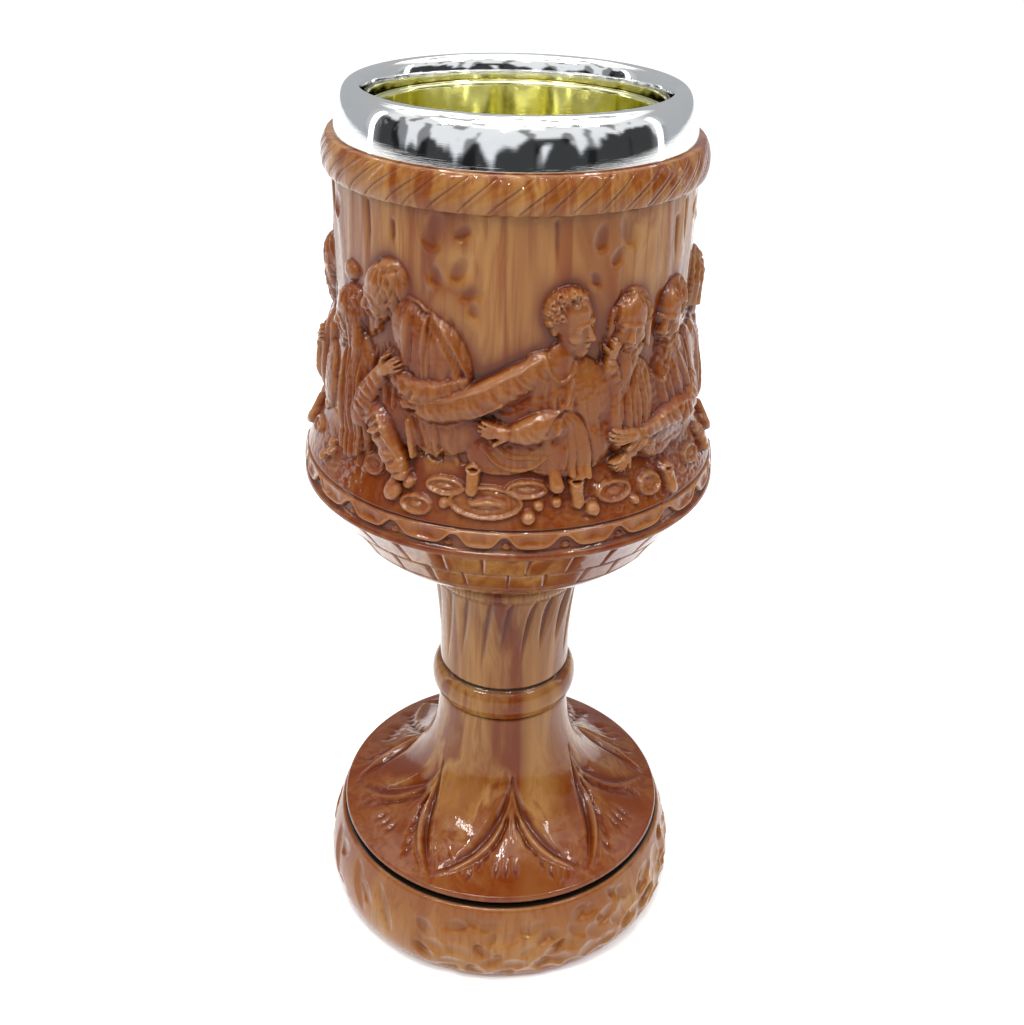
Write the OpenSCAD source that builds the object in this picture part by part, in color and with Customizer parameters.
// Communion chalice: a carved olive wood cup on a turned stem, with a lift-out metal cup insert.
// Millimetres, +Z up. The origin is the centre of the underside that stands on the table.

/* [Foot] */
// Radius of the felt pad under the foot
pad_r = 40.4; // [38:0.1:40.8]
// Thickness of the felt pad
pad_t = 1.0; // [0.5:0.1:1.5]
// Radius of the foot at its underside
foot_bottom_r = 40.2; // [39:0.1:41]
// Largest radius of the foot
foot_r = 43.4; // [42:0.1:46]
// Height of the foot's widest line
foot_belly_z = 7.5; // [6:0.5:10]
// Height of the glued seam between the foot and the stem's disc
foot_top_z = 22.0; // [20:0.5:24]

/* [Stem] */
// Radius of the disc at the bottom of the stem
disc_r = 39.4; // [38:0.1:40]
// Height of the disc's rim above the seam
disc_rim_h = 2.2; // [1.5:0.1:3]
// Radius of the stem where the flare meets the knob
neck_low_r = 15.3; // [14:0.1:16]
// Height of the burned groove under the knob
knob_low_z = 56.5; // [54:0.5:58]
// Height of the burned groove above the knob
knob_high_z = 64.5; // [63:0.5:68]
// Radius of the knob at its middle
knob_r = 16.9; // [16:0.1:20]
// Radius at the bottom of both burned grooves
groove_r = 14.6; // [13.5:0.1:15]
// Smallest radius of the fluted shaft
shaft_r = 15.1; // [14.8:0.1:15.6]
// Radius of the shaft just under its bead
shaft_top_r = 16.6; // [16:0.1:17.5]
// Radius of the bead ring that carries the bowl
bead_r = 17.2; // [16.8:0.1:18]
// Height of the glued seam between the stem and the bowl's base
stem_top_z = 92.5; // [90:0.5:94]

/* [Bowl] */
// Height of the glued seam between the bowl's base and the bowl
bowl_seam_z = 117.0; // [115:0.5:119]
// Radius of the bowl's base at the lower course of carved bricks
brick_r = 34.8; // [33:0.1:36]
// Radius of the flange around the table edge, the widest line of the bowl
flange_r = 43.7; // [42:0.1:45]
// Radius of the table edge line
table_r = 42.8; // [41:0.1:43.6]
// Height of the table edge line
table_z = 123.0; // [121:0.5:125]
// Radius of the plain wall above the relief
wall_r = 35.0; // [34:0.1:36]
// Radius of the relief's ground behind the table
relief_r = 37.2; // [36:0.1:38]
// Height where the relief's ground meets the table
relief_low_z = 134.0; // [132:0.5:136]
// Height where the relief ends and the plain wall starts
relief_high_z = 152.0; // [148:0.5:156]
// Number of figures around the table
figure_count = 13; // [9:1:16]
// Radius of a figure's head
head_r = 4.0; // [3:0.1:5]
// Height of the heads
head_z = 157.0; // [154:0.5:162]
// How far the heads and shoulders stand out from the cup's axis
figure_out_r = 38.0; // [37:0.1:39]

/* [Rim ring] */
// Height of the rope ring's underside
ring_low_z = 179.8; // [178:0.1:181]
// Height of the rope ring's top
ring_high_z = 186.3; // [185:0.1:187]
// Radius of the rope ring
ring_r = 37.0; // [36:0.1:38]

/* [Cup insert] */
// Full height of the chalice, at the crest of the rim collar
total_h = 195.0; // [194:0.5:197]
// Outside radius of the collar at its lower edge
collar_r = 34.35; // [33.8:0.05:35]
// Radius of the collar's crest
crest_r = 30.6; // [30:0.1:31]
// Inside radius of the collar's inner skirt
skirt_r = 28.3; // [28:0.1:29.2]
// Depth of the collar's inner skirt below the crest
skirt_h = 5.0; // [3.5:0.1:5.5]
// Sheet thickness of the collar
collar_t = 0.7; // [0.5:0.05:0.8]
// Outside radius of the liner's wall
liner_r = 28.6; // [28:0.1:28.7]
// Sheet thickness of the liner
liner_t = 0.8; // [0.5:0.05:1]
// Height of the underside of the liner's floor
liner_floor_z = 113.6; // [112:0.2:118]

/* [Joinery] */
// Radius of the dowel between the bowl and the stem
top_dowel_r = 5.0; // [4:0.5:6]
// Radius of the dowel between the stem and the foot
foot_dowel_r = 6.0; // [5:0.5:8]
// Depth of each dowel socket
socket_h = 12.0; // [8:0.5:14]
// Radial room for glue in every glued socket
glue_gap = 0.05; // [0.02:0.01:0.1]
// Gap between the lift-out insert and the wood at rest
seat_gap = 0.1; // [0.05:0.05:0.2]
// Gap between the liner's wall and the wood
liner_gap = 0.6; // [0.4:0.1:0.8]

/* [Hidden] */
$fn = 96;

// Points of each curved stretch of an outline
curve_steps = 14;
// Length of the spigots that centre the bowl and the rim ring
spigot_h = 3.0;
// Radius of the spigot on top of the bowl's base
base_spigot_r = 31.5;
// Radius of the spigot under the rim ring
ring_spigot_r = 32.0;
// Clear end of a dowel inside its socket
dowel_end_gap = 0.4;
// Radius where the liner's floor turns flat
floor_r = 10.0;
// Height where the liner's wall starts to curve inwards
liner_curve_z = 132.0;
// Height of the top of the liner's flange
flange_z = total_h - skirt_h;
// Outside radius of the liner's flange, just inside the collar
liner_flange_r = collar_r - collar_t - 0.5;
// Radius of the cavity in the wood
cavity_r = liner_r + liner_gap;

// One cubic curve from a to d with handles b and c
function curve(a, b, c, d) =
    [for (i = [0 : curve_steps])
        let (t = i / curve_steps, u = 1 - t)
        u * u * u * a + 3 * u * u * t * b + 3 * u * t * t * c + t * t * t * d];

// A solid of revolution from its outline, which runs from the axis to the axis
module turned(outline) {
    rotate_extrude() polygon(outline);
}

// A glued blind socket along the axis, open at height z and running by h (negative is down)
module socket(r, z, h) {
    translate([0, 0, min(z, z + h) - (h > 0 ? 1 : 0)])
        cylinder(r = r + glue_gap, h = abs(h) + 1);
}

// The cup-shaped space of the given wall radius and floor height, open at the top
module cup_space(r, floor_z, top_z) {
    turned(concat(
        [[0, floor_z], [floor_r, floor_z]],
        curve([floor_r, floor_z], [floor_r + 12, floor_z], [r, liner_curve_z - 11], [r, liner_curve_z]),
        [[r, top_z], [0, top_z]]));
}

// The space in the wood that the insert drops into
module cavity() {
    cup_space(cavity_r, liner_floor_z - liner_gap, total_h + 5);
}

// Thin felt disc glued under the foot
module felt_pad() {
    color("firebrick")
        cylinder(r = pad_r, h = pad_t);
}

// Turned foot with a bulging edge, ending in the lower half of the burned groove
module foot() {
    groove_edge_r = foot_r - 3.4;
    color("burlywood")
        difference() {
            turned(concat(
                [[0, pad_t]],
                curve([foot_bottom_r, pad_t], [foot_bottom_r + 1.8, pad_t + 0.6],
                      [foot_r, foot_belly_z - 3], [foot_r, foot_belly_z]),
                curve([foot_r, foot_belly_z], [foot_r, foot_belly_z + 6],
                      [groove_edge_r + 1.6, foot_top_z - 5], [groove_edge_r, foot_top_z - 0.9]),
                [[groove_edge_r - 1.6, foot_top_z], [0, foot_top_z]]));
            socket(foot_dowel_r, foot_top_z, -socket_h);
        }
}

// Turned stem: the disc, the flare, the knob between two grooves, the shaft and its bead
module stem() {
    disc_top_z = foot_top_z + disc_rim_h;
    color("peru")
        difference() {
            turned(concat(
                [[0, foot_top_z], [disc_r - 1.2, foot_top_z], [disc_r, foot_top_z + 0.9]],
                curve([disc_r - 0.2, disc_top_z], [disc_r - 9, disc_top_z + 3.2],
                      [neck_low_r + 0.7, disc_top_z + 7], [neck_low_r, knob_low_z - 3]),
                [[neck_low_r + 0.2, knob_low_z - 0.7], [groove_r, knob_low_z]],
                curve([neck_low_r + 0.4, knob_low_z + 0.7], [knob_r + 0.5, knob_low_z + 2],
                      [knob_r + 0.5, knob_high_z - 2], [neck_low_r + 0.4, knob_high_z - 0.7]),
                [[groove_r, knob_high_z], [shaft_r, knob_high_z + 0.7]],
                curve([shaft_r, knob_high_z + 6], [shaft_r + 0.1, knob_high_z + 14],
                      [shaft_top_r - 0.6, stem_top_z - 9], [shaft_top_r, stem_top_z - 3.6]),
                curve([shaft_top_r - 0.1, stem_top_z - 3], [bead_r + 0.4, stem_top_z - 2.6],
                      [bead_r + 0.4, stem_top_z - 0.6], [shaft_top_r - 0.2, stem_top_z]),
                [[0, stem_top_z]]));
            socket(foot_dowel_r, foot_top_z, socket_h);
            socket(top_dowel_r, stem_top_z, -socket_h);
        }
}

// Plain round dowel centred on a seam
module dowel(r, seam_z) {
    reach = socket_h - dowel_end_gap;
    color("tan")
        translate([0, 0, seam_z - reach])
            cylinder(r = r, h = 2 * reach);
}

module foot_dowel() { dowel(foot_dowel_r, foot_top_z); }

module top_dowel() { dowel(top_dowel_r, stem_top_z); }

// Lower part of the bowl, carved with two courses of bricks, with a spigot for the bowl
module bowl_base() {
    color("sienna")
        difference() {
            turned(concat(
                [[0, stem_top_z]],
                curve([shaft_top_r, stem_top_z], [shaft_top_r + 6, stem_top_z + 4],
                      [brick_r - 2.5, stem_top_z + 9], [brick_r, stem_top_z + 13]),
                curve([brick_r, stem_top_z + 13], [brick_r + 2.2, stem_top_z + 16.5],
                      [flange_r - 3.4, bowl_seam_z - 3], [flange_r - 0.6, bowl_seam_z]),
                [[base_spigot_r, bowl_seam_z], [base_spigot_r, bowl_seam_z + spigot_h],
                 [0, bowl_seam_z + spigot_h]]));
            cavity();
            socket(top_dowel_r, stem_top_z, socket_h);
        }
}

// Plain raised blank of one seated figure: head, shoulders and the body down to the table
module figure_blank() {
    shoulder_r = 9.0;
    shoulder_drop = 13.0;
    translate([figure_out_r - head_r, 0, head_z])
        sphere(r = head_r);
    translate([figure_out_r - shoulder_r, 0, head_z - shoulder_drop])
        sphere(r = shoulder_r);
}

// Bowl: plain wall, relief of the figures, sloping table and the flange around the table edge
module bowl() {
    color("chocolate")
        difference() {
            union() {
                turned(concat(
                    [[0, bowl_seam_z], [flange_r - 0.5, bowl_seam_z], [flange_r, bowl_seam_z + 0.8],
                     [flange_r, bowl_seam_z + 1.6]],
                    curve([flange_r - 0.6, bowl_seam_z + 2.2], [flange_r - 0.2, bowl_seam_z + 3.5],
                          [table_r + 0.4, table_z - 1.5], [table_r, table_z]),
                    curve([table_r, table_z], [table_r - 1.8, table_z + 4],
                          [relief_r + 1.8, relief_low_z - 4], [relief_r, relief_low_z]),
                    curve([relief_r, relief_low_z], [relief_r - 0.2, relief_low_z + 6],
                          [wall_r + 0.8, relief_high_z - 6], [wall_r, relief_high_z]),
                    [[wall_r, ring_low_z], [0, ring_low_z]]));
                for (i = [0 : figure_count - 1])
                    rotate([0, 0, i * 360 / figure_count])
                        figure_blank();
            }
            cavity();
            translate([0, 0, bowl_seam_z - 1])
                cylinder(r = base_spigot_r + glue_gap, h = spigot_h + 1 + glue_gap);
            translate([0, 0, ring_low_z - spigot_h - glue_gap])
                cylinder(r = ring_spigot_r + glue_gap, h = spigot_h + 1);
        }
}

// Rope-carved ring on top of the wall, with a spigot below and the insert's seat above
module rim_ring() {
    seat_r = liner_flange_r - 0.4;
    seat_z = flange_z - liner_t - seat_gap;
    color("sandybrown")
        difference() {
            turned(concat(
                [[0, ring_low_z - spigot_h], [ring_spigot_r, ring_low_z - spigot_h],
                 [ring_spigot_r, ring_low_z]],
                curve([ring_r - 0.5, ring_low_z], [ring_r + 0.2, ring_low_z + 1.5],
                      [ring_r + 0.2, ring_high_z - 1.8], [ring_r - 1.2, ring_high_z]),
                [[seat_r, ring_high_z], [seat_r, seat_z], [0, seat_z]]));
            cavity();
        }
}

// Gold-plated cup: a spun shell with a flat flange that sits on the rim ring
module cup_liner() {
    color("gold")
        difference() {
            union() {
                cup_space(liner_r, liner_floor_z, flange_z);
                translate([0, 0, flange_z - liner_t])
                    cylinder(r = liner_flange_r, h = liner_t);
            }
            cup_space(liner_r - liner_t, liner_floor_z + liner_t, total_h + 5);
        }
}

// Rolled outline of the collar, at the distance t inside its visible face
function roll(t) = concat(
    curve([collar_r - t, ring_high_z + seat_gap], [collar_r + 0.15 - t, ring_high_z + 3.3],
          [crest_r + 2.3 - t / 2, total_h - t], [crest_r, total_h - t]),
    curve([crest_r, total_h - t], [skirt_r + 0.6 + t / 2, total_h - t],
          [skirt_r + t, total_h - 1.5], [skirt_r + t, flange_z]));

// Silver-plated collar rolled over the liner's flange
module rim_collar() {
    inner = roll(collar_t);
    last = len(inner) - 1;
    color("silver")
        rotate_extrude()
            polygon(concat(roll(0), [for (i = [last : -1 : 0]) inner[i]]));
}

felt_pad();
foot();
stem();
foot_dowel();
top_dowel();
bowl_base();
bowl();
rim_ring();
cup_liner();
rim_collar();
